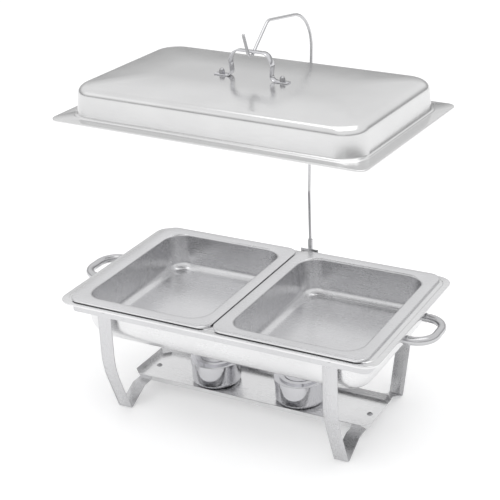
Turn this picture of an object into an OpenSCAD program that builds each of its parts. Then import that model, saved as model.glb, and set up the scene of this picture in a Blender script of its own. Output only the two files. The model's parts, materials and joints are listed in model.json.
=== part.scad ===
// Full-size rectangular chafing dish, heated by two fuel cups.
// Two half-size food pans hang in a water pan on a strip-steel frame. The lid hangs over them
// from a bent wire lid holder that stands in a socket at the back of the frame.
// Millimetres, +Z up, +Y to the back. The feet stand on Z = 0, and the origin is the centre
// of the base of the whole object's bounding box.

/* [Food pans] */
// Length of one food pan's rim, along the dish
food_l = 263.8; // [220:0.2:330]
// Width of a food pan's rim, across the dish
food_w = 325; // [260:1:400]
// Depth of a food pan below its rim
food_depth = 65; // [40:1:70]
// Width of the flat part of the rim
food_rim_w = 17; // [12:0.5:18]
// Height of the rim's turned-down edge
food_lip = 4.2; // [2.5:0.1:6]
// Gap between the two pans' rims
food_gap = 2.4; // [1:0.2:8]
// Radius of the rim's outer corners
food_corner_r = 20; // [10:1:30]
// Radius of the body's upright corners
food_wall_r = 34; // [28:1:44]
// Radius between the walls and the bottom
food_bottom_r = 15; // [8:1:20]

/* [Water pan] */
// Flange beyond the food pans' rims at each end
flange_end = 18; // [10:0.5:30]
// Flange beyond the food pans' rims at front and back
flange_side = 5.1; // [3:0.1:15]
// Width of the flange from its edge to the body
flange_w = 24; // [23.6:0.2:32]
// Depth of the water pan below its flange
water_depth = 79; // [74:1:110]
// Radius of the flange's outer corners
water_corner_r = 25; // [15:1:35]
// Radius of the body's upright corners
water_wall_r = 42; // [34:1:48]
// Radius between the walls and the bottom
water_bottom_r = 38; // [20:1:42]
// Width of the lowered ledge around the flange
ledge_w = 9.5; // [6:0.5:12]
// Thickness of all the pressed sheet
sheet_t = 0.8; // [0.6:0.1:1.2]

/* [Frame band] */
// Height of the water pan's flange above the floor
rim_z = 212; // [180:1:260]
// Height of the band
band_h = 22; // [18:1:30]
// Thickness of the band
band_t = 1.5; // [1:0.1:2.5]
// Radius of the band's upright corners
band_r = 12; // [8:1:25]

/* [Legs] */
// Width of the leg strap
leg_w = 25; // [18:1:32]
// Thickness of the leg strap
leg_t = 2; // [1.5:0.1:3]
// Distance from the band's end to the middle of a leg
leg_inset = 65; // [45:1:90]
// How far each foot stands in from the band's face
foot_in = 41; // [25:1:60]
// Length of the flat that each foot stands on
foot_flat = 6; // [4:0.5:12]
// Height at which the leg starts to sweep inwards
leg_sweep_z = 95; // [80:1:120]
// Radius of the sweep
leg_sweep_r = 150; // [80:5:180]

/* [Fuel tray] */
// Width of the tray over its lips
tray_w = 108; // [96:1:130]
// How far the tray runs past the middle of each leg
tray_end = 20.5; // [16:0.5:30]
// Height of the tray's floor above the ground
tray_z = 22; // [16:1:30]
// Height of the lips above the tray's underside
lip_h = 11; // [8:0.5:16]
// How far the lips lean outwards
lip_out = 3.5; // [1:0.5:6]
// Size of the tray's cut corners
tray_corner = 12; // [6:0.5:20]

/* [Fuel cups] */
// Outer diameter of a cup
cup_d = 85; // [70:1:92]
// Height of a cup without its cover
cup_h = 42; // [34:1:50]
// Thickness of the cup and the cover
cup_t = 0.9; // [0.7:0.1:1.5]
// Distance between the two cups
cup_spacing = 161; // [110:1:260]
// How far the pair of cups stands to the left of the middle
cup_shift = 5; // [-20:1:20]
// Width of the flat lip around the flame hole
flame_lip = 4.6; // [2:0.2:12]
// Diameter of the pin that the snuffer turns on
snuffer_pin_d = 3; // [2.5:0.1:4]
// How far the snuffer disc overlaps the flame hole
snuffer_lap = 4; // [2:0.5:4.5]

/* [Side handles] */
// Diameter of the handle tube
grip_d = 14; // [9:0.5:16]
// Wall of the handle tube
grip_wall = 1.2; // [0.8:0.1:2]
// Distance between the two ends of a handle
grip_span = 82; // [70:1:110]
// Reach of a handle from the band's face
grip_reach = 58.5; // [50:0.5:80]
// Bend radius of the handle tube
grip_bend_r = 32; // [20:1:32]
// Distance from the band's face to the cut end of the tube
grip_gap = 10; // [8:0.5:16]

/* [Lid] */
// Lid flange beyond the food pans' rims at each end
lid_end = 7.2; // [2:0.2:16]
// Lid flange beyond the food pans' rims at front and back
lid_side = 0.3; // [0:0.1:6]
// Width of the lid's flat flange
lid_flange_w = 17; // [12:0.5:24]
// Height of the dome's top edge above the flange
lid_h = 48; // [36:1:90]
// Rise of the crowned top from its edge to its middle
lid_crown = 5; // [1:0.5:8]
// Radius of the dome's top edge
lid_top_r = 14; // [8:1:16]
// Radius of the flange's outer corners
lid_corner_r = 14; // [8:1:30]
// Radius of the dome's upright corners
lid_wall_r = 40; // [25:1:50]

/* [Lid handle] */
// Width of the handle strap
strap_w = 12; // [10:0.5:20]
// Thickness of the handle strap
strap_t = 2; // [1.5:0.1:3]
// Distance between the two handle screws
strap_screw_span = 108; // [96:1:130]
// Width of the arch inside
arch_w = 66; // [56:1:72]
// Height of the arch inside, above the lid
arch_h = 42; // [38:1:60]

/* [Lid holder] */
// Diameter of the rod
rod_d = 5; // [4:0.1:7]
// Distance of the socket to the right of the middle
socket_x = 13; // [-60:1:60]
// Turn of the rod about its socket
rod_turn = -2.5; // [-15:0.5:15]
// Height of the hook's bend centre above the water pan's flange
hook_lift = 404; // [335:0.5:480]
// Radius of the seat inside the hook
hook_seat_r = 7; // [7:0.5:18]
// How far the hook stands behind the middle of the dish
hook_back = 3; // [-20:0.5:20]
// How far the rod leans back at the top
rod_lean = 23; // [0:1:40]
// Length of the hook's free tip
tip_l = 35; // [18:1:40]
// Outer diameter of the socket tube
socket_d = 9; // [8.5:0.1:14]
// Height of the socket above the flange
socket_up = 20; // [12:1:35]

/* [Fasteners] */
// Shank diameter of the frame screws
screw_d = 4; // [3:0.1:5]
// Radial clearance of screws in their holes
hole_clear = 0.05; // [0.03:0.01:0.2]

/* [Fits] */
// Gap under a piece that only rests on another
seat_gap = 0.2; // [0.1:0.05:0.3]
// Radial clearance of parts that turn in one another
turn_clear = 0.06; // [0.03:0.01:0.1]
// Gap between the handle and the hook that carries it
hang_gap = 0.3; // [0.2:0.05:0.5]
// Space between the leg nuts and the water pan
body_clear = 1; // [0.6:0.1:3]

/* [Hidden] */

steel = "#dcdcdc";
steel_shade = "#c2c2c4";
polished = "#a9abae";
$fn = 48;

// Screws and nuts
nut_h = 0.8 * screw_d;
nut_d = 1.95 * screw_d;
head_d = 2 * screw_d;
head_h = 0.55 * screw_d;

// Overall plan sizes, as half lengths
food_x = food_l + food_gap / 2;
food_y = food_w / 2;
flange_x = food_x + flange_end;
flange_y = food_y + flange_side;
band_in = flange_w - sheet_t - body_clear - nut_h - leg_t - band_t;
band_x = flange_x - band_in;
band_y = flange_y - band_in;
leg_x = band_x - leg_inset;

// Heights
band_top = rim_z - sheet_t - seat_gap;
band_z = band_top - band_h;
screw_z = band_z + band_h / 2;
food_rim_z = rim_z + seat_gap + food_lip;
tray_top = tray_z + sheet_t;
cup_z = tray_top + seat_gap;
flange_lip = 4;
ledge_drop = 1.2;

// Legs
foot_y = band_y - foot_in;
arm_y = tray_w / 2 + 14;

// Lid holder: bracket, socket and rod
plate_t = 1.5;
bracket_w = 30;
bracket_gap = 1.9;
upright_y = flange_y + bracket_gap;
bracket_shelf_z = band_top - flange_lip - ledge_drop - plate_t;
pillar_y = upright_y + 2 * plate_t + socket_d / 2 - 0.4;
socket_z = band_z + 2;
socket_floor = 3;
socket_ear = 17;
ear_screw_x = 12;
rod_r = rod_d / 2;
rod_end_z = socket_z + socket_floor + seat_gap;
hook_s = pillar_y - hook_back;
hook_z = rim_z + hook_lift;
hook_r = hook_seat_r + rod_r;
rear_arm_a = 40;
tip_a = 70;
arch_bend_r = 65;
lean_bend_r = 80;
rear_bend_r = 16;
lean_z = rim_z + 110;
arch_z = hook_z + 14.5;
rear_arm_l = 76;

// The corner point under the hook's round seat, where its two arms would meet
rear_arm_n = [-sin(rear_arm_a), -cos(rear_arm_a)];
tip_n = [sin(tip_a), -cos(tip_a)];
hook_corner = [hook_s, hook_z] + hook_r * (rear_arm_n + tip_n) / (1 + rear_arm_n * tip_n);
rear_corner = hook_corner + rear_arm_l * [-cos(rear_arm_a), sin(rear_arm_a)];
tip_end = [hook_s, hook_z] + hook_r * tip_n + tip_l * [cos(tip_a), sin(tip_a)];

// The rearmost point of the rod's big bend, behind the pillar
arch_corner = [-rod_lean, arch_z];
arch_u = unit(arch_corner - [0, lean_z]);
arch_v = unit(rear_corner - arch_corner);
arch_centre = arch_corner - arch_u * arch_bend_r * tan(acos(arch_u * arch_v) / 2)
    - arch_bend_r * turn_left(arch_u);
back_y = pillar_y + (arch_bend_r - arch_centre[0]) * cos(rod_turn) + rod_r;

// Lid
lid_x = food_x + lid_end;
lid_y = food_y + lid_side;
lid_mid_y = pillar_y - hook_s * cos(rod_turn);
lid_reach_y = (lid_y - lid_corner_r) * cos(rod_turn)
    + (lid_x - lid_corner_r) * sin(abs(rod_turn)) + lid_corner_r;

// The whole object is shifted so that the middle of its box stands over the origin
front_y = max(flange_y, lid_reach_y - lid_mid_y);
origin_y = (back_y - front_y) / 2;
arch_under_z = hook_z - sqrt(pow(hook_seat_r, 2) - pow(strap_w / 2, 2)) + hang_gap;
lid_top_z = arch_under_z - arch_h;
lid_z = lid_top_z - lid_crown - lid_h;
lid_nut_d = 10;
lid_screw_d = 5;
ear_end = 11;

// ---------------------------------------------------------------- helper functions

function unit(v) = v / norm(v);
function cross2(a, b) = a[0] * b[1] - a[1] * b[0];
function turn_left(v) = [-v[1], v[0]];
function reverse(list) = [for (i = [len(list) - 1:-1:0]) list[i]];

// Points along an arc in a plane
function arc(centre, r, a0, a1, steps) =
    [for (i = [0:steps]) let (a = a0 + (a1 - a0) * i / steps) centre + r * [cos(a), sin(a)]];

// One bend of a path: the arc that rounds the corner at b
function bend(a, b, c, r, steps) =
    let (
        u = unit(b - a),
        v = unit(c - b),
        side = cross2(u, v) > 0 ? 1 : -1,
        turn = acos(u * v),
        start = b - u * r * tan(turn / 2),
        centre = start + side * r * turn_left(u)
    )
    [for (i = [0:steps])
        let (a = turn * i / steps)
        centre + r * (sin(a) * u - side * cos(a) * turn_left(u))];

// A path through points, with each inner corner rounded by its own radius
function rounded_path(points, radii, steps) = [
    points[0],
    for (i = [1:len(points) - 2])
        each radii[i] > 0
            ? bend(points[i - 1], points[i], points[i + 1], radii[i], steps)
            : [points[i]],
    points[len(points) - 1]
];

// The path moved sideways by t, to the right of its direction, with mitred corners
function normal_at(path, i) =
    let (
        last = len(path) - 1,
        u = i > 0 ? unit(path[i] - path[i - 1]) : unit(path[1] - path[0]),
        v = i < last ? unit(path[i + 1] - path[i]) : u,
        n = [u[1], -u[0]],
        m = [v[1], -v[0]]
    )
    (n + m) / (1 + n * m);
function moved_right(path, t) = [for (i = [0:len(path) - 1]) path[i] + t * normal_at(path, i)];

// ---------------------------------------------------------------- helper modules

// Places a piece of the stand's frame under the part's own origin, in its colour
module placed(c) {
    color(c) translate([0, -origin_y, 0]) children();
}

// Puts a piece drawn in the rod's own plane where the rod stands
module at_rod(c) {
    placed(c) translate([socket_x, pillar_y, 0]) rotate([0, 0, rod_turn]) children();
}

// Puts a piece drawn around the lid's middle where the lid hangs
module at_lid(c) {
    at_rod(c) translate([0, -hook_s, 0]) children();
}

module mirrored_x() {
    children();
    mirror([1, 0, 0]) children();
}

module mirrored_y() {
    children();
    mirror([0, 1, 0]) children();
}

// Rectangle of half lengths x and y with true round corners
module round_rect(x, y, r) {
    square([2 * x, 2 * (y - r)], center = true);
    square([2 * (x - r), 2 * y], center = true);
    for (sx = [-1, 1], sy = [-1, 1]) translate([sx * (x - r), sy * (y - r)]) circle(r);
}

// A strip of thickness t that follows a path in its plane, drawn to the right of the path
module strip(path, t, width) {
    linear_extrude(width, center = true) polygon(concat(path, reverse(moved_right(path, t))));
}

// A round bar bent in its plane: straight lengths and true arcs
module bent_bar(points, radii, d) {
    last = len(points) - 1;
    cuts = [for (i = [0:last])
        i == 0 || i == last || radii[i] == 0 ? 0
            : radii[i] * tan(acos(unit(points[i] - points[i - 1]) * unit(points[i + 1] - points[i])) / 2)];
    for (i = [0:last - 1]) {
        u = unit(points[i + 1] - points[i]);
        a = points[i] + u * cuts[i];
        b = points[i + 1] - u * cuts[i + 1];
        translate([a[0], a[1], 0]) rotate([0, 0, atan2(u[1], u[0])]) rotate([0, 90, 0])
            cylinder(h = norm(b - a), d = d);
    }
    for (i = [1:last - 1]) {
        u = unit(points[i] - points[i - 1]);
        v = unit(points[i + 1] - points[i]);
        centre = points[i] - u * cuts[i] + radii[i] * turn_left(u);
        first = -turn_left(u);
        translate([centre[0], centre[1], 0]) rotate([0, 0, atan2(first[1], first[0])])
            rotate_extrude(angle = acos(u * v)) translate([radii[i], 0]) circle(d = d);
    }
}

// A round bar of radius r along a path in its plane, made of short straight lengths
module drawn_bar(path, r) {
    sides = 20;
    last = len(path) - 1;
    points = [for (i = [0:last], j = [0:sides - 1])
        let (
            a = 360 * j / sides,
            p = path[i] + r * cos(a) * normal_at(path, i)
        )
        [p[0], p[1], r * sin(a)]];
    skin = [for (i = [0:last - 1], j = [0:sides - 1])
        let (k = (j + 1) % sides)
        [i * sides + j, i * sides + k, (i + 1) * sides + k, (i + 1) * sides + j]];
    first_end = [for (j = [sides - 1:-1:0]) j];
    last_end = [for (j = [0:sides - 1]) last * sides + j];
    polyhedron(points, concat([first_end], skin, [last_end]), convexity = 10);
}

// A pressed sheet. Each entry of path is [inset from the edge, height, corner radius], from the
// outer edge to the flat in the middle, on the sheet's upper face.
module pressed_sheet(x, y, path, t, arc_steps = 8) {
    flat_path = [for (p = path) [p[0], p[1]]];
    under = moved_right(flat_path, t);
    under_path = [for (i = [0:len(path) - 1])
        [under[i][0], under[i][1], max(1, path[i][2] - (under[i][0] - path[i][0]))]];
    levels = concat(reverse(path), under_path);
    ring_n = 4 * (arc_steps + 1);
    points = [for (p = levels, q = [0:3], s = [0:arc_steps])
        let (
            a = 90 * q + 90 * s / arc_steps,
            cx = (q == 0 || q == 3 ? 1 : -1) * (x - p[0] - p[2]),
            cy = (q < 2 ? 1 : -1) * (y - p[0] - p[2])
        )
        [cx + p[2] * cos(a), cy + p[2] * sin(a), p[1]]];
    last = len(levels) - 1;
    sides = [for (i = [0:last - 1], j = [0:ring_n - 1])
        let (k = (j + 1) % ring_n)
        [i * ring_n + j, i * ring_n + k, (i + 1) * ring_n + k, (i + 1) * ring_n + j]];
    upper_flat = [for (j = [ring_n - 1:-1:0]) j];
    lower_flat = [for (j = [0:ring_n - 1]) last * ring_n + j];
    polyhedron(points, concat([upper_flat], sides, [lower_flat]), convexity = 10);
}

// Low round head, flat side on Z = 0
module domed_head(d, h) {
    ball_r = (d * d / 4 + h * h) / (2 * h);
    intersection() {
        translate([0, 0, h - ball_r]) sphere(ball_r);
        cylinder(h = h, d = d);
    }
}

// Screw with its head above Z = 0 and its shank below
module screw(d, length, slotted = false) {
    difference() {
        domed_head(2 * d, 0.55 * d);
        if (slotted) translate([0, 0, 0.55 * d]) cube([2 * d + 1, 0.25 * d, 0.5 * d], center = true);
    }
    translate([0, 0, -length]) cylinder(h = length + 0.1, d = d);
}

// Hexagon nut with its bearing face on Z = 0
module hex_nut(d) {
    difference() {
        cylinder(h = 0.8 * d, d = 1.95 * d, $fn = 6);
        translate([0, 0, -1]) cylinder(h = 0.8 * d + 2, r = d / 2 + hole_clear);
    }
}

module screw_hole(d, length) {
    translate([0, 0, -length / 2]) cylinder(h = length, r = d / 2 + hole_clear);
}

// ---------------------------------------------------------------- frame

module frame_band() {
    placed(steel) difference() {
        translate([0, 0, band_z]) linear_extrude(band_h) difference() {
            round_rect(band_x, band_y, band_r);
            round_rect(band_x - band_t, band_y - band_t, band_r - band_t);
        }
        mirrored_x() mirrored_y()
            translate([leg_x, band_y, screw_z]) rotate([90, 0, 0]) screw_hole(screw_d, 12);
        mirrored_x() mirrored_y()
            translate([band_x, grip_span / 2, grip_z]) bracket_rivet_holes();
        for (s = [-1, 1]) translate([socket_x + s * bracket_screw_x, band_y, bracket_screw_z])
            rotate([90, 0, 0]) screw_hole(bracket_screw_d, 12);
    }
}

// One strap runs from the front of the band, down and under the tray, and up to the back
module leg_strap() {
    half = [
        [-(band_y - band_t), band_top - 3],
        [-(band_y - band_t), leg_sweep_z],
        [-(foot_y + foot_flat / 2), 0],
        [-(foot_y - foot_flat / 2), 0],
        [-arm_y, tray_z - leg_t]
    ];
    // The path is the strap's outer face, so the strap lies on its left, above the floor
    front = rounded_path(half, [0, leg_sweep_r, 3, 3, 12], 6);
    whole = concat(front, reverse([for (p = front) [-p[0], p[1]]]));
    difference() {
        rotate([90, 0, 90]) strip(reverse(whole), leg_t, leg_w);
        mirrored_y() translate([0, band_y, screw_z]) rotate([90, 0, 0]) screw_hole(screw_d, 14);
        translate([0, 0, tray_z]) screw_hole(tray_screw_d, 12);
    }
}

module leg_strap_left() {
    placed(steel_shade) translate([-leg_x, 0, 0]) leg_strap();
}

module leg_strap_right() {
    placed(steel_shade) translate([leg_x, 0, 0]) leg_strap();
}

leg_screw_l = band_t + leg_t + nut_h;

module leg_screws() {
    placed(steel) mirrored_x() mirrored_y()
        translate([leg_x, -band_y, screw_z]) rotate([90, 0, 0]) screw(screw_d, leg_screw_l);
}

module leg_nuts() {
    placed(steel_shade) mirrored_x() mirrored_y()
        translate([leg_x, -(band_y - band_t - leg_t), screw_z]) rotate([-90, 0, 0]) hex_nut(screw_d);
}

// ---------------------------------------------------------------- fuel tray

tray_screw_d = 5;
tray_x = leg_x + tray_end;

// Flat floor with a lip all round that leans outwards, and cut corners
module fuel_tray() {
    placed(steel) difference() {
        pressed_sheet(tray_x, tray_w / 2, [
            [0, tray_z + lip_h, tray_corner],
            [lip_out, tray_top, tray_corner],
            [lip_out + 4, tray_top, tray_corner]
        ], sheet_t, arc_steps = 1);
        mirrored_x() translate([leg_x, 0, tray_z]) screw_hole(tray_screw_d, 8);
    }
}

tray_screw_l = sheet_t + leg_t + 0.8 * tray_screw_d;

module tray_screws() {
    placed(steel) mirrored_x()
        translate([leg_x, 0, tray_top]) screw(tray_screw_d, tray_screw_l, slotted = true);
}

module tray_nuts() {
    placed(steel_shade) mirrored_x()
        translate([leg_x, 0, tray_z - leg_t]) rotate([180, 0, 0]) hex_nut(tray_screw_d);
}

// ---------------------------------------------------------------- side handles

collar_h = 3;
collar_d = grip_d + 1;
spigot_clear = 0.08;
spigot_r = grip_d / 2 - grip_wall - spigot_clear;
spigot_l = min(grip_gap + 14, grip_reach - grip_d / 2 - grip_bend_r - 0.5);
lug_w = 30;
lug_h = 16;
grip_z = band_z + lug_h / 2 + 0.5;
rivet_x = 11;
pin_d = 3;
pin_in = 5;

// The tube's centre line, from one cut end round to the other
grip_path = [
    [grip_gap, -grip_span / 2],
    [grip_reach - grip_d / 2, -grip_span / 2],
    [grip_reach - grip_d / 2, grip_span / 2],
    [grip_gap, grip_span / 2]
];
grip_radii = [0, grip_bend_r, grip_bend_r, 0];

module side_handle() {
    difference() {
        bent_bar(grip_path, grip_radii, grip_d);
        bent_bar(grip_path, grip_radii, grip_d - 2 * grip_wall);
        for (s = [-1, 1]) translate([grip_gap + pin_in, s * grip_span / 2, 0])
            screw_hole(pin_d, grip_d + 4);
    }
}

module handle_right() {
    placed(steel) translate([band_x, 0, grip_z]) side_handle();
}

module handle_left() {
    placed(steel) mirror([1, 0, 0]) translate([band_x, 0, grip_z]) side_handle();
}

module bracket_rivet_holes() {
    for (s = [-1, 1]) translate([0, s * rivet_x, 0]) rotate([0, 90, 0]) screw_hole(rivet_d, 10);
}

// Plate on the band with a round spigot that plugs into the tube
module handle_bracket() {
    difference() {
        union() {
            translate([0, -lug_w / 2, -lug_h / 2]) cube([plate_t, lug_w, lug_h]);
            rotate([0, 90, 0]) cylinder(h = plate_t + collar_h, d = collar_d);
            rotate([0, 90, 0]) cylinder(h = spigot_l, r = spigot_r);
        }
        bracket_rivet_holes();
        translate([grip_gap + pin_in, 0, 0]) screw_hole(pin_d, grip_d + 4);
    }
}

module handle_bracket_pair() {
    mirrored_y() translate([band_x, grip_span / 2, grip_z]) handle_bracket();
}

module handle_brackets_right() {
    placed(steel_shade) handle_bracket_pair();
}

module handle_brackets_left() {
    placed(steel_shade) mirror([1, 0, 0]) handle_bracket_pair();
}

module handle_pins() {
    placed(polished) mirrored_x() mirrored_y()
        translate([band_x + grip_gap + pin_in, grip_span / 2, grip_z])
            cylinder(h = grip_d + 1.6, d = pin_d, center = true);
}

rivet_d = 3;

module bracket_rivets() {
    placed(steel) mirrored_x() mirrored_y()
        for (s = [-1, 1]) translate([band_x + plate_t, grip_span / 2 + s * rivet_x, grip_z])
            rotate([0, 90, 0]) screw(rivet_d, plate_t + band_t);
}

// ---------------------------------------------------------------- pans

// Flange with a lowered ledge and a turned-down edge, then the wall and the rounded bottom
module water_pan() {
    draft = 4;
    edge_z = rim_z - ledge_drop;
    body_bottom_r = water_bottom_r;
    arc_in = flange_w + draft + body_bottom_r;
    arc_z = rim_z - water_depth + body_bottom_r;
    arc_steps = 6;
    r_wall = water_wall_r;
    bottom = [for (p = arc([arc_in, arc_z], body_bottom_r, 180, 270, arc_steps))
        [p[0], p[1], max(14, r_wall - (p[0] - flange_w) * 0.6)]];
    placed(steel) pressed_sheet(flange_x, flange_y, concat([
        [0, edge_z - flange_lip, water_corner_r],
        [0, edge_z - 1, water_corner_r],
        [1, edge_z, water_corner_r],
        [ledge_w - 1.5, edge_z, water_corner_r],
        [ledge_w, rim_z, water_corner_r],
        [flange_w - 4, rim_z, r_wall],
        [flange_w - 1.4, rim_z - 0.8, r_wall],
        [flange_w, rim_z - 4, r_wall]
    ], bottom), sheet_t);
}

// Flat rim with a turned-down edge, then the wall and the rounded bottom
module food_pan() {
    draft = 4;
    wall_in = food_rim_w + 4;
    arc_in = wall_in + draft + food_bottom_r;
    arc_z = food_rim_z - food_depth + food_bottom_r;
    arc_steps = 5;
    r_wall = food_wall_r;
    bottom = [for (p = arc([arc_in, arc_z], food_bottom_r, 180, 270, arc_steps))
        [p[0], p[1], max(12, r_wall - (p[0] - wall_in) * 0.6)]];
    pressed_sheet(food_l / 2, food_y, concat([
        [0, food_rim_z - food_lip, food_corner_r],
        [0, food_rim_z - 1.2, food_corner_r],
        [1.2, food_rim_z, food_corner_r],
        [food_rim_w, food_rim_z, r_wall - 4],
        [food_rim_w + 2.6, food_rim_z - 0.8, r_wall],
        [wall_in, food_rim_z - 4, r_wall]
    ], bottom), sheet_t);
}

module food_pan_left() {
    placed(steel) translate([-(food_l + food_gap) / 2, 0, 0]) food_pan();
}

module food_pan_right() {
    placed(steel) translate([(food_l + food_gap) / 2, 0, 0]) food_pan();
}

// ---------------------------------------------------------------- lid holder

bracket_screw_d = 3;
bracket_screw_x = 9;
bracket_screw_z = band_z + 6.5;
upright_top = rim_z + 4;

// Strip bent out under the pan's flange and up behind it
module holder_bracket() {
    profile = [
        [band_y, band_z + 1],
        [band_y, bracket_shelf_z],
        [upright_y, bracket_shelf_z],
        [upright_y, upright_top]
    ];
    placed(steel_shade) difference() {
        translate([socket_x, 0, 0]) rotate([90, 0, 90])
            strip(rounded_path(profile, [0, 2.2, 2.2, 0], 4), plate_t, bracket_w);
        for (s = [-1, 1]) translate([socket_x + s * bracket_screw_x, band_y, bracket_screw_z])
            rotate([90, 0, 0]) screw_hole(bracket_screw_d, 12);
        translate([socket_x + ear_screw_x, upright_y, ear_screw_z]) rotate([90, 0, 0])
            screw_hole(bracket_screw_d, 12);
    }
}

bracket_screw_l = plate_t + band_t + 0.8 * bracket_screw_d;

module holder_bracket_screws() {
    placed(steel) for (s = [-1, 1])
        translate([socket_x + s * bracket_screw_x, band_y + plate_t, bracket_screw_z])
            rotate([-90, 0, 0]) screw(bracket_screw_d, bracket_screw_l);
}

module holder_bracket_nuts() {
    placed(steel_shade) for (s = [-1, 1])
        translate([socket_x + s * bracket_screw_x, band_y - band_t, bracket_screw_z])
            rotate([90, 0, 0]) hex_nut(bracket_screw_d);
}

ear_screw_z = rim_z - 1.5;
ear_h = 11;

// Blind tube for the rod, with an ear that is screwed to the bracket
module holder_socket() {
    placed(steel_shade) difference() {
        union() {
            translate([socket_x, pillar_y, socket_z])
                cylinder(h = rim_z + socket_up - socket_z, d = socket_d);
            translate([socket_x, upright_y + plate_t, ear_screw_z - ear_h / 2])
                cube([socket_ear, plate_t, ear_h]);
        }
        translate([socket_x, pillar_y, socket_z + socket_floor])
            cylinder(h = rim_z + socket_up, r = rod_r + turn_clear);
        translate([socket_x + ear_screw_x, upright_y, ear_screw_z]) rotate([90, 0, 0])
            screw_hole(bracket_screw_d, 12);
    }
}

// Short screw that is threaded into the bracket, flush with its front face
module socket_screw() {
    placed(steel) translate([socket_x + ear_screw_x, upright_y + 2 * plate_t, ear_screw_z])
        rotate([-90, 0, 0]) screw(bracket_screw_d, 2 * plate_t);
}

// Drawn forward of the pillar: first number towards the front, second number up
rod_path = [
    [0, rod_end_z],
    [0, lean_z],
    arch_corner,
    rear_corner,
    hook_corner,
    tip_end
];

// The straight foot is a true cylinder, and the bent length grows out of it
module holder_rod() {
    foot_end = rim_z + socket_up + 10;
    bends = [0, lean_bend_r, arch_bend_r, rear_bend_r, hook_r, 0];
    centre_line = rounded_path(concat([[0, foot_end - 2]], [for (i = [1:5]) rod_path[i]]), bends, 9);
    at_rod(polished) {
        translate([0, 0, rod_end_z]) cylinder(h = foot_end - rod_end_z, d = rod_d);
        rotate([90, 0, -90]) drawn_bar(centre_line, rod_r - 0.02);
    }
}

// ---------------------------------------------------------------- lid

module lid() {
    foot_in_lid = lid_flange_w + 3.4;
    lean_in = 2.6;
    arc_in = foot_in_lid + lean_in + lid_top_r;
    arc_z = lid_h - lid_top_r;
    crown_in = 0.78 * lid_y;
    crown_steps = 4;
    r_wall = lid_wall_r;
    top_edge = [for (p = arc([arc_in, arc_z], lid_top_r, 180, 95, 5))
        [p[0], p[1], max(20, r_wall - (p[0] - foot_in_lid) * 0.5)]];
    crown = [for (i = [1:crown_steps])
        let (
            d = arc_in + (crown_in - arc_in) * i / crown_steps,
            rise = 1 - pow(1 - i / crown_steps, 2)
        )
        [d, lid_h + lid_crown * rise, 20]];
    at_lid(steel) difference() {
        translate([0, 0, lid_z]) pressed_sheet(lid_x, lid_y, concat([
            [0, -3, lid_corner_r],
            [0, -1, lid_corner_r],
            [1, 0, lid_corner_r],
            [lid_flange_w, 0, r_wall - 4],
            [lid_flange_w + 0.9, 1.6, r_wall - 3],
            [lid_flange_w + 2.6, 2.2, r_wall - 1],
            [foot_in_lid, 3.6, r_wall]
        ], top_edge, crown), sheet_t);
        mirrored_x() translate([strap_screw_span / 2, 0, lid_top_z]) screw_hole(lid_screw_d, 12);
    }
}

// Strap bent to flat ears, S-shaped sides and a wide arch
module lid_handle() {
    half_in = arch_w / 2;
    bulge = 3.5;
    shoulder = 5;
    ear_x = strap_screw_span / 2 + ear_end;
    half = [
        [-ear_x, 0],
        [-half_in, 0],
        [-(half_in + bulge), 0.64 * arch_h],
        [-(half_in - shoulder), arch_h],
        [0, arch_h]
    ];
    outline = rounded_path(half, [0, 9, 20, 12, 0], 6);
    left_half = [for (i = [0:len(outline) - 2]) outline[i]];
    whole = concat(left_half, reverse([for (p = left_half) [-p[0], p[1]]]));
    at_lid(steel) translate([0, 0, lid_top_z]) difference() {
        rotate([90, 0, 0]) strip(reverse(whole), strap_t, strap_w);
        mirrored_x() translate([strap_screw_span / 2, 0, 0]) screw_hole(lid_screw_d, 14);
    }
}

acorn_h = 4.5;
lid_screw_l = sheet_t + strap_t + acorn_h + 0.8;

module lid_handle_screws() {
    at_lid(steel_shade) mirrored_x()
        translate([strap_screw_span / 2, 0, lid_top_z - sheet_t]) rotate([180, 0, 0])
            screw(lid_screw_d, lid_screw_l, slotted = true);
}

module acorn_nut() {
    difference() {
        union() {
            cylinder(h = acorn_h, d = lid_nut_d, $fn = 6);
            translate([0, 0, acorn_h]) sphere(d = 0.82 * lid_nut_d);
        }
        translate([0, 0, -1]) cylinder(h = acorn_h + 2, r = lid_screw_d / 2 + hole_clear);
        translate([0, 0, -lid_nut_d]) cube(2 * lid_nut_d, center = true);
    }
}

module lid_handle_nuts() {
    at_lid(steel) mirrored_x()
        translate([strap_screw_span / 2, 0, lid_top_z + strap_t]) acorn_nut();
}

// ---------------------------------------------------------------- fuel cups

cup_r = cup_d / 2;
cup_bottom_r = 8;
cover_skirt = 7;
cover_fit = 0.4;
ring_r = cup_r - 9;
ring_w = 6;
ring_up = 3;
snuffer_t = 1;
cover_z = cup_z + cup_h + seat_gap;
snuffer_z = cover_z + cup_t + ring_up + seat_gap;
rivet_out = ring_r - ring_w / 2;
flame_hole_d = 2 * (ring_r - ring_w - cup_t - flame_lip);
snuffer_d = flame_hole_d + 2 * snuffer_lap;
rivet_head_h = 1.4;

// Half section of the cup: a round-bottomed wall with a rolled rim
module fuel_cup() {
    outer = concat([[0, 0]], arc([cup_r - cup_bottom_r, cup_bottom_r], cup_bottom_r, 270, 360, 8),
        [[cup_r, cup_h - 3], [cup_r, cup_h]]);
    inner = concat([[0, cup_t]],
        arc([cup_r - cup_bottom_r, cup_bottom_r], cup_bottom_r - cup_t, 270, 360, 8),
        [[cup_r - cup_t, cup_h]]);
    rotate_extrude() polygon(concat(outer, reverse(inner)));
}

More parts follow.
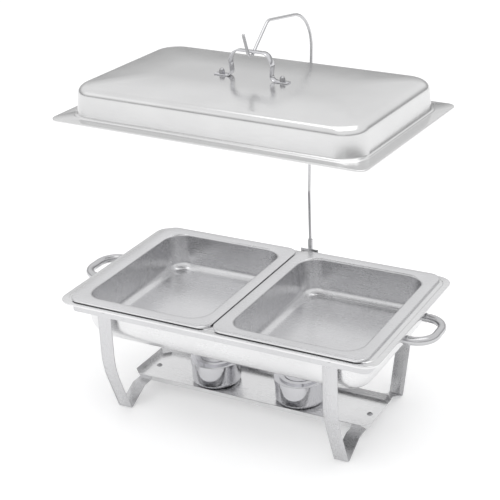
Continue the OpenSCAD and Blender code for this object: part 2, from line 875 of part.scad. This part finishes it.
// Pressed cover: skirt outside the cup, a raised ring and the flame hole
module cup_cover() {
    skirt_r = cup_r + cover_fit + cup_t;
    difference() {
        rotate_extrude() polygon([
            [flame_hole_d / 2, 0],
            [ring_r - ring_w, 0],
            [ring_r - ring_w, ring_up],
            [ring_r, ring_up],
            [ring_r, 0],
            [skirt_r - cup_t, 0],
            [skirt_r - cup_t, -cover_skirt],
            [skirt_r, -cover_skirt],
            [skirt_r, cup_t - 0.5],
            [skirt_r - 0.5, cup_t],
            [ring_r + cup_t, cup_t],
            [ring_r + cup_t, ring_up + cup_t],
            [ring_r - ring_w - cup_t, ring_up + cup_t],
            [ring_r - ring_w - cup_t, cup_t],
            [flame_hole_d / 2, cup_t]
        ]);
        translate([rivet_out, 0, 0]) screw_hole(snuffer_pin_d, 20);
    }
}

// Flat disc that turns on its rivet to close the flame hole, with a lifting tab
module snuffer() {
    tab_w = 12;
    tab_l = 12;
    difference() {
        union() {
            cylinder(h = snuffer_t, d = snuffer_d);
            translate([0, -6, 0]) cube([rivet_out, 12, snuffer_t]);
            translate([rivet_out, 0, 0]) cylinder(h = snuffer_t, d = 12);
            translate([-(snuffer_d / 2 + tab_l - 4), -tab_w / 2, 0]) cube([tab_l, tab_w, snuffer_t]);
            translate([-(snuffer_d / 2 + tab_l - 4), -tab_w / 2, 0]) cube([snuffer_t, tab_w, 5]);
        }
        translate([rivet_out, 0, -1])
            cylinder(h = snuffer_t + 2, r = snuffer_pin_d / 2 + turn_clear);
    }
}

// Rivet through the cover's raised ring, with a head above the snuffer
module snuffer_rivet() {
    head_z = snuffer_z + snuffer_t + seat_gap - cover_z;
    translate([rivet_out, 0, head_z]) domed_head(2.2 * snuffer_pin_d, rivet_head_h);
    translate([rivet_out, 0, ring_up]) cylinder(h = head_z - ring_up + 0.1, d = snuffer_pin_d);
    translate([rivet_out, 0, ring_up - 1]) cylinder(h = 1, d = 1.8 * snuffer_pin_d);
}

// Puts a piece of a cup set in place: side is -1 for the left cup and 1 for the right
module at_cup(side, z, c) {
    placed(c) translate([side * cup_spacing / 2 - cup_shift, 0, z]) children();
}

module fuel_cup_left() {
    at_cup(-1, cup_z, polished) fuel_cup();
}

module fuel_cup_right() {
    at_cup(1, cup_z, polished) fuel_cup();
}

module cup_cover_left() {
    at_cup(-1, cover_z, polished) cup_cover();
}

module cup_cover_right() {
    at_cup(1, cover_z, polished) cup_cover();
}

module snuffer_left() {
    at_cup(-1, snuffer_z, steel) snuffer();
}

module snuffer_right() {
    at_cup(1, snuffer_z, steel) snuffer();
}

module snuffer_rivet_left() {
    at_cup(-1, cover_z, steel_shade) snuffer_rivet();
}

module snuffer_rivet_right() {
    at_cup(1, cover_z, steel_shade) snuffer_rivet();
}

// ---------------------------------------------------------------- nodes

frame_band();
leg_strap_left();
leg_strap_right();
leg_screws();
leg_nuts();
fuel_tray();
tray_screws();
tray_nuts();
handle_left();
handle_right();
handle_brackets_left();
handle_brackets_right();
handle_pins();
bracket_rivets();
water_pan();
food_pan_left();
food_pan_right();
holder_bracket();
holder_bracket_screws();
holder_bracket_nuts();
holder_socket();
socket_screw();
holder_rod();
lid();
lid_handle();
lid_handle_screws();
lid_handle_nuts();
fuel_cup_left();
fuel_cup_right();
cup_cover_left();
cup_cover_right();
snuffer_left();
snuffer_right();
snuffer_rivet_left();
snuffer_rivet_right();
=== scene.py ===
import json
import math

import bpy
from mathutils import Matrix, Vector


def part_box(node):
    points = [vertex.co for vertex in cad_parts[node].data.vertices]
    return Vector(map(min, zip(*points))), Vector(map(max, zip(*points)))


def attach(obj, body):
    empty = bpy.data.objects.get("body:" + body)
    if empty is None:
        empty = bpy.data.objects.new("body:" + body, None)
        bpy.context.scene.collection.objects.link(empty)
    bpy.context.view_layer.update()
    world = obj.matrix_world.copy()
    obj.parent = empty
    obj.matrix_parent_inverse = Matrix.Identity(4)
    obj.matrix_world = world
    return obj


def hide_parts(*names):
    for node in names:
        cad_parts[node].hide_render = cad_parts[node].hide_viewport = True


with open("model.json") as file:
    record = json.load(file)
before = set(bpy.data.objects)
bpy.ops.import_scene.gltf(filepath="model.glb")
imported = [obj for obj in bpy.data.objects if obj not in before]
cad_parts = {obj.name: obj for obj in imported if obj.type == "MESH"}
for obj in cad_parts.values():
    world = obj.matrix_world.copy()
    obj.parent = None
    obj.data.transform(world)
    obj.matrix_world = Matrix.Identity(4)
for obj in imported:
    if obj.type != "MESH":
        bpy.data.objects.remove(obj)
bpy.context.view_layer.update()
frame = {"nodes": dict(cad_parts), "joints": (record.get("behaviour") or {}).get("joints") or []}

MM = 0.001
SHEET_T = 0.8 * MM


# ------------------------------------------------------------------ places, taken from the frame

def joint_place(name):
    return next(Vector(j["pos_m"]) for j in frame["joints"] if j["name"] == name)


PILLAR = joint_place("lid_holder_turn")
HOOK = joint_place("lid_swing")
FORWARD = Vector((HOOK.x - PILLAR.x, HOOK.y - PILLAR.y, 0)).normalized()
HOOK_REACH = math.hypot(HOOK.x - PILLAR.x, HOOK.y - PILLAR.y)
LID_TURN = math.atan2(FORWARD.x, -FORWARD.y)


def centre_and_half(node):
    low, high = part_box(node)
    return (low + high) / 2, (high - low) / 2


# ------------------------------------------------------------------ paths

def unit(v):
    length = math.hypot(v[0], v[1])
    return (v[0] / length, v[1] / length)


def arc(cx, cz, r, start, end, steps):
    turns = [math.radians(start + (end - start) * i / steps) for i in range(steps + 1)]
    return [(cx + r * math.cos(a), cz + r * math.sin(a)) for a in turns]


def rounded(points, radii, steps):
    """The path through points, with each inner corner rounded by its own radius."""
    path = [points[0]]
    for i in range(1, len(points) - 1):
        a, b, c, r = points[i - 1], points[i], points[i + 1], radii[i]
        if r == 0:
            path.append(b)
            continue
        u = unit((b[0] - a[0], b[1] - a[1]))
        v = unit((c[0] - b[0], c[1] - b[1]))
        side = 1 if u[0] * v[1] - u[1] * v[0] > 0 else -1
        turn = math.acos(u[0] * v[0] + u[1] * v[1])
        cut = r * math.tan(turn / 2)
        start = (b[0] - u[0] * cut, b[1] - u[1] * cut)
        centre = (start[0] - side * r * u[1], start[1] + side * r * u[0])
        for k in range(steps + 1):
            t = turn * k / steps
            path.append((
                centre[0] + r * (math.sin(t) * u[0] + side * math.cos(t) * u[1]),
                centre[1] + r * (math.sin(t) * u[1] - side * math.cos(t) * u[0]),
            ))
    path.append(points[-1])
    return path


def mitres(path):
    """The direction to the right of the path at each point, longer at its corners."""
    out = []
    for i, p in enumerate(path):
        before = path[max(i - 1, 0)]
        after = path[min(i + 1, len(path) - 1)]
        u = unit((p[0] - before[0], p[1] - before[1])) if i else None
        v = unit((after[0] - p[0], after[1] - p[1])) if i < len(path) - 1 else u
        u = u or v
        n, m = (u[1], -u[0]), (v[1], -v[0])
        scale = 1 / (1 + n[0] * m[0] + n[1] * m[1])
        out.append(((n[0] + m[0]) * scale, (n[1] + m[1]) * scale))
    return out


# ------------------------------------------------------------------ meshes

def new_piece(name, points, faces, material, body, nodes, sharp_deg=32):
    mesh = bpy.data.meshes.new(name)
    mesh.from_pydata([tuple(p) for p in points], [], faces)
    mesh.validate()
    for polygon in mesh.polygons:
        polygon.use_smooth = True
    mesh.set_sharp_from_angle(angle=math.radians(sharp_deg))
    mesh.materials.append(material)
    piece = bpy.data.objects.new(name, mesh)
    bpy.context.scene.collection.objects.link(piece)
    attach(piece, body)
    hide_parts(*nodes)


def ring(half_x, half_y, r, steps):
    """The outline of a rectangle with round corners, anticlockwise."""
    out = []
    for quarter in range(4):
        sx = 1 if quarter in (0, 3) else -1
        sy = 1 if quarter < 2 else -1
        for k in range(steps + 1):
            a = math.radians(90 * quarter + 90 * k / steps)
            out.append((sx * (half_x - r) + r * math.cos(a), sy * (half_y - r) + r * math.sin(a)))
    return out


def pressed_sheet(half_x, half_y, path, t=SHEET_T, steps=14):
    """A pressed sheet: path lists (inset, height, corner radius) of its upper face, going inwards."""
    flat = [(p[0], p[1]) for p in path]
    under = []
    for (inset, height, r), (nx, nz) in zip(path, mitres(flat)):
        low = (inset + t * nx, height + t * nz)
        under.append((low[0], low[1], max(MM, r - (low[0] - inset))))
    levels = path[::-1] + under
    points, faces = [], []
    for inset, height, r in levels:
        points += [(x, y, height) for x, y in ring(half_x - inset, half_y - inset, r, steps)]
    n = 4 * (steps + 1)
    for i in range(len(levels) - 1):
        for j in range(n):
            k = (j + 1) % n
            faces.append((i * n + j, i * n + k, (i + 1) * n + k, (i + 1) * n + j))
    faces.append(tuple(range(n - 1, -1, -1)))
    last = (len(levels) - 1) * n
    faces.append(tuple(range(last, last + n)))
    return points, faces


def tube_faces(ring_size, point_count):
    """Faces that join a row of rings into one closed bar."""
    n = ring_size
    faces = []
    for i in range(point_count // n - 1):
        for j in range(n):
            k = (j + 1) % n
            faces.append((i * n + j, (i + 1) * n + j, (i + 1) * n + k, i * n + k))
    faces.append(tuple(range(n)))
    faces.append(tuple(range(point_count - 1, point_count - n - 1, -1)))
    return faces


def strip(path, t, width, edge=0.35 * MM):
    """A flat bar that follows a path in the X-Z plane, thickness to the right, with eased edges."""
    section = [
        (0, -width / 2 + edge), (0, width / 2 - edge), (edge, width / 2), (t - edge, width / 2),
        (t, width / 2 - edge), (t, -width / 2 + edge), (t - edge, -width / 2), (edge, -width / 2),
    ]
    points = []
    for (x, z), (nx, nz) in zip(path, mitres(path)):
        points += [(x + nx * d, y, z + nz * d) for d, y in section]
    return points, tube_faces(len(section), len(points))


def round_bar(path, r, sides=28, end_steps=5):
    """A round bar along a path in the X-Z plane, with softly rounded ends."""
    over = mitres(path)
    first, last = path[0], path[-1]
    u = unit((path[1][0] - first[0], path[1][1] - first[1]))
    v = unit((last[0] - path[-2][0], last[1] - path[-2][1]))
    lead, tail = [], []
    for k in range(end_steps):
        a = math.radians(90 * k / end_steps)
        depth, size = r * (1 - math.sin(a)), r * math.cos(a)
        lead.append(((first[0] + u[0] * depth, first[1] + u[1] * depth), over[0], size))
        tail.append(((last[0] - v[0] * depth, last[1] - v[1] * depth), over[-1], size))
    middle = [(place, across, r) for place, across in zip(path[1:-1], over[1:-1])]
    points = []
    for (x, z), (nx, nz), size in lead[::-1] + middle + tail:
        for j in range(sides):
            a = 2 * math.pi * j / sides
            out = size * math.cos(a)
            points.append((x + out * nx, size * math.sin(a), z + out * nz))
    return points, tube_faces(sides, len(points))


def moved(points, matrix):
    return [matrix @ Vector(p) for p in points]


# ------------------------------------------------------------------ materials

EVEN = (1, 1, 1)
CLOUDS_PER_M = 9
SMUDGES_PER_M = 34
COLOUR_DRIFT = 0.03
BRUSHED_ROUGHNESS = 0.03
SMUDGE_ROUGHNESS = (-0.02, 0.03)
BRUSH_DEPTH = 0.4 * MM


def steel(name, colour, rough, grain, bump):
    """Stainless steel: grain is how fine the brushing is along X, Y and Z, per metre."""
    material = bpy.data.materials.new(name)
    material.use_nodes = True
    nodes, links = material.node_tree.nodes, material.node_tree.links
    shader = nodes["Principled BSDF"]
    shader.inputs["Metallic"].default_value = 1.0
    place = nodes.new("ShaderNodeTexCoord")

    def noise(scale, stretch, detail):
        mapping = nodes.new("ShaderNodeMapping")
        mapping.inputs["Scale"].default_value = stretch
        texture = nodes.new("ShaderNodeTexNoise")
        texture.inputs["Scale"].default_value = scale
        texture.inputs["Detail"].default_value = detail
        links.new(place.outputs["Object"], mapping.inputs["Vector"])
        links.new(mapping.outputs["Vector"], texture.inputs["Vector"])
        return texture.outputs["Fac"]

    brushed = noise(1, grain, 4)
    clouds = noise(CLOUDS_PER_M, EVEN, 3)
    smudges = noise(SMUDGES_PER_M, EVEN, 5)

    shade = nodes.new("ShaderNodeValToRGB")
    shade.color_ramp.elements[0].position = 0.35
    shade.color_ramp.elements[1].position = 0.7
    for element, factor in zip(shade.color_ramp.elements, (1 - COLOUR_DRIFT, 1 + COLOUR_DRIFT)):
        element.color = (*[min(1, c * factor) for c in colour], 1)
    links.new(clouds, shade.inputs["Fac"])
    links.new(shade.outputs["Color"], shader.inputs["Base Color"])

    def ranged(source, low, high):
        node = nodes.new("ShaderNodeMapRange")
        node.inputs["From Min"].default_value = 0.3
        node.inputs["From Max"].default_value = 0.7
        node.inputs["To Min"].default_value = low
        node.inputs["To Max"].default_value = high
        links.new(source, node.inputs["Value"])
        return node.outputs["Result"]

    total = nodes.new("ShaderNodeMath")
    total.operation = "ADD"
    streaks = ranged(brushed, rough - BRUSHED_ROUGHNESS, rough + BRUSHED_ROUGHNESS)
    links.new(streaks, total.inputs[0])
    links.new(ranged(smudges, *SMUDGE_ROUGHNESS), total.inputs[1])
    links.new(total.outputs["Value"], shader.inputs["Roughness"])

    relief = nodes.new("ShaderNodeBump")
    relief.inputs["Strength"].default_value = bump
    relief.inputs["Distance"].default_value = BRUSH_DEPTH
    links.new(brushed, relief.inputs["Height"])
    links.new(relief.outputs["Normal"], shader.inputs["Normal"])
    return material


# Brushing along X, along Z, and polishing that has no direction
ALONG_X = (14, 900, 900)
ALONG_Z = (900, 900, 14)
ALL_WAYS = (700, 700, 700)
PANS = steel("pan_steel", (0.77, 0.77, 0.775), 0.25, ALONG_X, 0.008)
LID = steel("lid_steel", (0.74, 0.74, 0.74), 0.20, ALONG_X, 0.008)
FOOD = steel("food_pan_steel", (0.71, 0.71, 0.72), 0.25, ALONG_X, 0.004)
STRAPS = steel("strap_steel", (0.61, 0.61, 0.62), 0.27, ALONG_Z, 0.012)
BAND = steel("band_steel", (0.62, 0.62, 0.63), 0.25, ALONG_X, 0.012)
WIRE = steel("wire_steel", (0.56, 0.56, 0.57), 0.22, ALL_WAYS, 0.01)
BRIGHT = steel("bright_steel", (0.66, 0.66, 0.68), 0.10, ALL_WAYS, 0.01)
SCREWS = steel("screw_steel", (0.42, 0.42, 0.43), 0.22, ALL_WAYS, 0.02)


# ------------------------------------------------------------------ pans

# How fast the upright corners of a pan get smaller in the rounding at their foot
CORNER_SHRINK = 0.6


def make_water_pan():
    centre, half = centre_and_half("water_pan")
    rim = centre.z + half.z
    depth, flange, draft = 79 * MM, 24 * MM, 4 * MM
    ledge, ledge_drop, lip = 9.5 * MM, 1.2 * MM, 4 * MM
    outer_r, wall_r, foot_r = 25 * MM, 42 * MM, 38 * MM
    edge_r, mouth_r, least_r = 1.4 * MM, 4 * MM, 14 * MM
    edge = rim - ledge_drop
    step_up = [
        (ledge - 1.6 * MM, edge), (ledge - 0.8 * MM, edge + 0.2 * MM),
        (ledge - 0.2 * MM, rim - 0.25 * MM), (ledge + 0.6 * MM, rim),
    ]
    path = [(0, edge - lip, outer_r)]
    path += [(x, z, outer_r) for x, z in arc(edge_r, edge - edge_r, edge_r, 180, 90, 4) + step_up]
    path += [(x, z, wall_r) for x, z in arc(flange - mouth_r, rim - mouth_r, mouth_r, 90, 0, 6)]
    foot = arc(flange + draft + foot_r, rim - depth + foot_r, foot_r, 180, 270, 12)
    path += [(x, z, max(least_r, wall_r - CORNER_SHRINK * (x - flange))) for x, z in foot]
    points, faces = pressed_sheet(half.x, half.y, path)
    points = moved(points, Matrix.Translation((centre.x, centre.y, 0)))
    new_piece("water_pan_shell", points, faces, PANS, "water_pan", ["water_pan"])


def make_food_pan(side):
    node = "food_pan_" + side
    centre, half = centre_and_half(node)
    rim = centre.z + half.z
    depth, lip, flat = 65 * MM, 4.2 * MM, 17 * MM
    outer_r, wall_r, foot_r, draft = 20 * MM, 34 * MM, 15 * MM, 4 * MM
    edge_r, mouth_r, least_r = 1.8 * MM, 4 * MM, 12 * MM
    wall = flat + mouth_r
    path = [(0, rim - lip, outer_r)]
    path += [(x, z, outer_r) for x, z in arc(edge_r, rim - edge_r, edge_r, 180, 90, 5)]
    path += [(x, z, wall_r) for x, z in arc(flat, rim - mouth_r, mouth_r, 90, 0, 6)]
    foot = arc(wall + draft + foot_r, rim - depth + foot_r, foot_r, 180, 270, 10)
    path += [(x, z, max(least_r, wall_r - CORNER_SHRINK * (x - wall))) for x, z in foot]
    points, faces = pressed_sheet(half.x, half.y, path)
    points = moved(points, Matrix.Translation((centre.x, centre.y, 0)))
    new_piece(node + "_shell", points, faces, FOOD, node, [node])


# ------------------------------------------------------------------ lid and its holder

def lid_place():
    return Matrix.Translation((HOOK.x, HOOK.y, 0)) @ Matrix.Rotation(LID_TURN, 4, "Z")


def make_lid():
    half_x, half_y = 272.2 * MM, 162.8 * MM
    lip, height, crown = 3 * MM, 48 * MM, 5 * MM
    edge_r, corner_r, wall_r, top_r, least_r = 1.2 * MM, 14 * MM, 40 * MM, 14 * MM, 20 * MM
    flange, foot, lean = 17 * MM, 20.4 * MM, 2.6 * MM
    top_shrink, crown_share, crown_steps = 0.5, 0.78, 10
    flange_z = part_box("lid")[1].z - height - crown
    # The small step at the foot of the dome: inset, height above the flange, and how much
    # smaller its corners are than the dome's
    step_up = [
        (flange - 0.3 * MM, 0, 4 * MM),
        (flange + 0.4 * MM, 0.5 * MM, 3.5 * MM),
        (flange + 0.9 * MM, 1.7 * MM, 3 * MM),
        (flange + 2.0 * MM, 2.4 * MM, 1.5 * MM),
        (foot - 0.3 * MM, 3.0 * MM, 0.5 * MM),
        (foot, 4.4 * MM, 0),
    ]
    edge = arc(edge_r, flange_z - edge_r, edge_r, 180, 90, 4)
    path = [(0, flange_z - lip, corner_r)]
    path += [(x, z, corner_r) for x, z in edge]
    path += [(x, flange_z + up, wall_r - less) for x, up, less in step_up]
    start = foot + lean + top_r
    shoulder = arc(start, flange_z + height - top_r, top_r, 180, 95, 12)
    path += [(x, z, max(least_r, wall_r - top_shrink * (x - foot))) for x, z in shoulder]
    end = crown_share * half_y
    for i in range(1, crown_steps + 1):
        part = i / crown_steps
        rise = crown * (1 - (1 - part) ** 2)
        path.append((start + (end - start) * part, flange_z + height + rise, least_r))
    points, faces = pressed_sheet(half_x, half_y, path)
    new_piece("lid_shell", moved(points, lid_place()), faces, LID, "lid", ["lid"])


def make_lid_handle():
    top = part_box("lid")[1].z
    arch_w, arch_h, t, width = 66 * MM, 42 * MM, 2 * MM, 12 * MM
    bulge, bulge_z, shoulder, ear_x = 3.5 * MM, 0.64 * arch_h, 5 * MM, 65 * MM
    foot_r, bulge_r, shoulder_r = 9 * MM, 20 * MM, 12 * MM
    half = [
        (-ear_x, 0), (-arch_w / 2, 0), (-(arch_w / 2 + bulge), bulge_z),
        (-(arch_w / 2 - shoulder), arch_h), (0, arch_h),
    ]
    left = rounded(half, [0, foot_r, bulge_r, shoulder_r, 0], 12)[:-1]
    whole = left + [(-x, z) for x, z in reversed(left)]
    points, faces = strip(whole[::-1], t, width, edge=0.5 * MM)
    place = lid_place() @ Matrix.Translation((0, 0, top))
    new_piece("lid_handle_strap", moved(points, place), faces, BRIGHT, "lid", ["lid_handle"],
              sharp_deg=50)


def make_holder_rod():
    """The rod lies in the plane through the pillar and the hook: first number forward, second up."""
    rod_r, seat_r = 2.5 * MM, 7 * MM
    hook_r = seat_r + rod_r
    lean_back, lean_up, arch_up = 23 * MM, 110 * MM, 14.5 * MM
    lean_r, arch_r, rear_r = 80 * MM, 65 * MM, 16 * MM
    rear_arm, tip_length = 76 * MM, 35 * MM
    rear, tip = math.radians(40), math.radians(70)

    # The corner under the hook's round seat, where its two straight arms would meet
    n1 = (-math.sin(rear), -math.cos(rear))
    n2 = (math.sin(tip), -math.cos(tip))
    spread = hook_r / (1 + n1[0] * n2[0] + n1[1] * n2[1])
    corner = (HOOK_REACH + spread * (n1[0] + n2[0]), HOOK.z + spread * (n1[1] + n2[1]))
    rear_corner = (corner[0] - rear_arm * math.cos(rear), corner[1] + rear_arm * math.sin(rear))
    tip_end = (
        HOOK_REACH + hook_r * n2[0] + tip_length * math.cos(tip),
        HOOK.z + hook_r * n2[1] + tip_length * math.sin(tip),
    )
    foot_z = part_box("holder_rod")[0].z
    rim_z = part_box("water_pan")[1].z
    route = [
        (0, foot_z), (0, rim_z + lean_up), (-lean_back, HOOK.z + arch_up),
        rear_corner, corner, tip_end,
    ]
    path = rounded(route, [0, lean_r, arch_r, rear_r, hook_r, 0], 22)
    points, faces = round_bar(path, rod_r)
    side = Vector((-FORWARD.y, FORWARD.x, 0))
    place = Matrix((
        (FORWARD.x, side.x, 0, PILLAR.x),
        (FORWARD.y, side.y, 0, PILLAR.y),
        (0, 0, 1, 0),
        (0, 0, 0, 1),
    ))
    new_piece("lid_holder_wire", moved(points, place), faces, WIRE, "lid_holder", ["holder_rod"],
              sharp_deg=60)


# ------------------------------------------------------------------ legs

def make_leg_strap(side):
    node = "leg_strap_" + side
    centre, half = centre_and_half(node)
    t, width = 2 * MM, 25 * MM
    foot_y, flat, arm_y, tray_z = 111.1 * MM, 6 * MM, 68 * MM, 22 * MM
    sweep_z, sweep_r, foot_r, arm_r = 95 * MM, 150 * MM, 3 * MM, 12 * MM
    start = [
        (-half.y, centre.z + half.z), (-half.y, sweep_z), (-(foot_y + flat / 2), 0),
        (-(foot_y - flat / 2), 0), (-arm_y, tray_z - t),
    ]
    front = rounded(start, [0, sweep_r, foot_r, foot_r, arm_r], 14)
    whole = front + [(-x, z) for x, z in reversed(front)]
    points, faces = strip(whole[::-1], t, width)
    place = Matrix.Translation((centre.x, centre.y, 0)) @ Matrix.Rotation(math.pi / 2, 4, "Z")
    new_piece(node + "_bar", moved(points, place), faces, STRAPS, "stand", [node],
              sharp_deg=45)


# ------------------------------------------------------------------ finishes of the CAD nodes

def finish_of(node):
    if any(word in node for word in ("screw", "nut", "pins", "rivet")):
        return SCREWS
    if any(word in node for word in ("cup", "snuffer")):
        return BRIGHT
    if node in ("handle_left", "handle_right"):
        return WIRE
    if node == "fuel_tray":
        return PANS
    if node in ("frame_band", "holder_bracket"):
        return BAND
    return STRAPS


make_water_pan()
for pan_side in ("left", "right"):
    make_food_pan(pan_side)
    make_leg_strap(pan_side)
make_lid()
make_lid_handle()
make_holder_rod()
for node_name, node_object in frame["nodes"].items():
    node_object.data.materials.clear()
    node_object.data.materials.append(finish_of(node_name))


# ------------------------------------------------------------------ floor, light and camera

def make_floor():
    half = 14
    corners = [(-half, -half, 0), (half, -half, 0), (half, half, 0), (-half, half, 0)]
    mesh = bpy.data.meshes.new("floor")
    mesh.from_pydata(corners, [], [(0, 1, 2, 3)])
    floor = bpy.data.objects.new("floor", mesh)
    bpy.context.scene.collection.objects.link(floor)
    material = bpy.data.materials.new("floor_white")
    material.use_nodes = True
    nodes, links = material.node_tree.nodes, material.node_tree.links
    shader = nodes["Principled BSDF"]
    shader.inputs["Roughness"].default_value = 0.9
    shader.inputs["Specular IOR Level"].default_value = 0.1
    shader.inputs["Emission Color"].default_value = (1, 1, 1, 1)
    shader.inputs["Emission Strength"].default_value = 0.23
    texture = nodes.new("ShaderNodeTexNoise")
    texture.inputs["Scale"].default_value = 3
    ramp = nodes.new("ShaderNodeValToRGB")
    for element, grey in zip(ramp.color_ramp.elements, (0.93, 0.95)):
        element.color = (grey, grey, grey, 1)
    links.new(texture.outputs["Fac"], ramp.inputs["Fac"])
    links.new(ramp.outputs["Color"], shader.inputs["Base Color"])
    mesh.materials.append(material)


def make_area_light(name, place, target, size, watts):
    data = bpy.data.lights.new(name, "AREA")
    data.shape = "RECTANGLE"
    data.size, data.size_y = size
    data.energy = watts
    light = bpy.data.objects.new(name, data)
    bpy.context.scene.collection.objects.link(light)
    light.location = place
    light.rotation_euler = (Vector(target) - Vector(place)).to_track_quat("-Z", "Y").to_euler()


def make_sky():
    world = bpy.data.worlds.new("studio")
    bpy.context.scene.world = world
    world.use_nodes = True
    nodes, links = world.node_tree.nodes, world.node_tree.links
    background = nodes["Background"]
    place = nodes.new("ShaderNodeTexCoord")
    split = nodes.new("ShaderNodeSeparateXYZ")
    ramp = nodes.new("ShaderNodeValToRGB")
    blue = 1.005
    # Height above the horizon, as the sine of its angle, and the grey there
    stops = [(0.0, 0.88), (0.03, 0.50), (0.12, 0.38), (0.38, 0.97), (0.75, 1.0), (1.0, 0.8)]
    while len(ramp.color_ramp.elements) < len(stops):
        ramp.color_ramp.elements.new(0.5)
    for element, (height, grey) in zip(ramp.color_ramp.elements, stops):
        element.position = height
        element.color = (grey, grey, grey * blue, 1)
    links.new(place.outputs["Generated"], split.inputs["Vector"])
    links.new(split.outputs["Z"], ramp.inputs["Fac"])
    links.new(ramp.outputs["Color"], background.inputs["Color"])
    background.inputs["Strength"].default_value = 0.97


def make_camera():
    """The photograph's angle, roll and framing, around the object's own middle."""
    azimuth, elevation, roll = (math.radians(d) for d in (27.36, 24.18, -1.70))
    from_dish = Vector((0.94636, -1.70524, 1.15549))
    forward = Vector((-math.sin(azimuth) * math.cos(elevation),
                      math.cos(azimuth) * math.cos(elevation), -math.sin(elevation)))
    level = Vector((math.cos(azimuth), math.sin(azimuth), 0))
    upright = level.cross(forward)
    right = level * math.cos(roll) + upright * math.sin(roll)
    up = upright * math.cos(roll) - level * math.sin(roll)
    data = bpy.data.cameras.new("camera")
    data.lens, data.sensor_width = 94.61, 36
    data.shift_x = -0.08
    data.clip_end = 60
    camera = bpy.data.objects.new("camera", data)
    bpy.context.scene.collection.objects.link(camera)
    dish = centre_and_half("water_pan")[0]
    place = Vector((dish.x, dish.y, 0)) + from_dish
    camera.matrix_world = Matrix((
        (right.x, up.x, -forward.x, place.x),
        (right.y, up.y, -forward.y, place.y),
        (right.z, up.z, -forward.z, place.z),
        (0, 0, 0, 1),
    ))
    bpy.context.scene.camera = camera


make_floor()
make_sky()
make_area_light("top_box", (0.2, -0.2, 2.6), (0, 0, 0.2), size=(2.4, 1.8), watts=15)
make_area_light("left_box", (-2.2, -1.6, 1.5), (0, 0, 0.3), size=(1.6, 1.6), watts=1.5)
make_area_light("front_box", (0.8, -2.8, 1.2), (0, 0, 0.2), size=(1.8, 1.2), watts=0.8)
make_camera()
bpy.context.scene.view_settings.view_transform = "Standard"
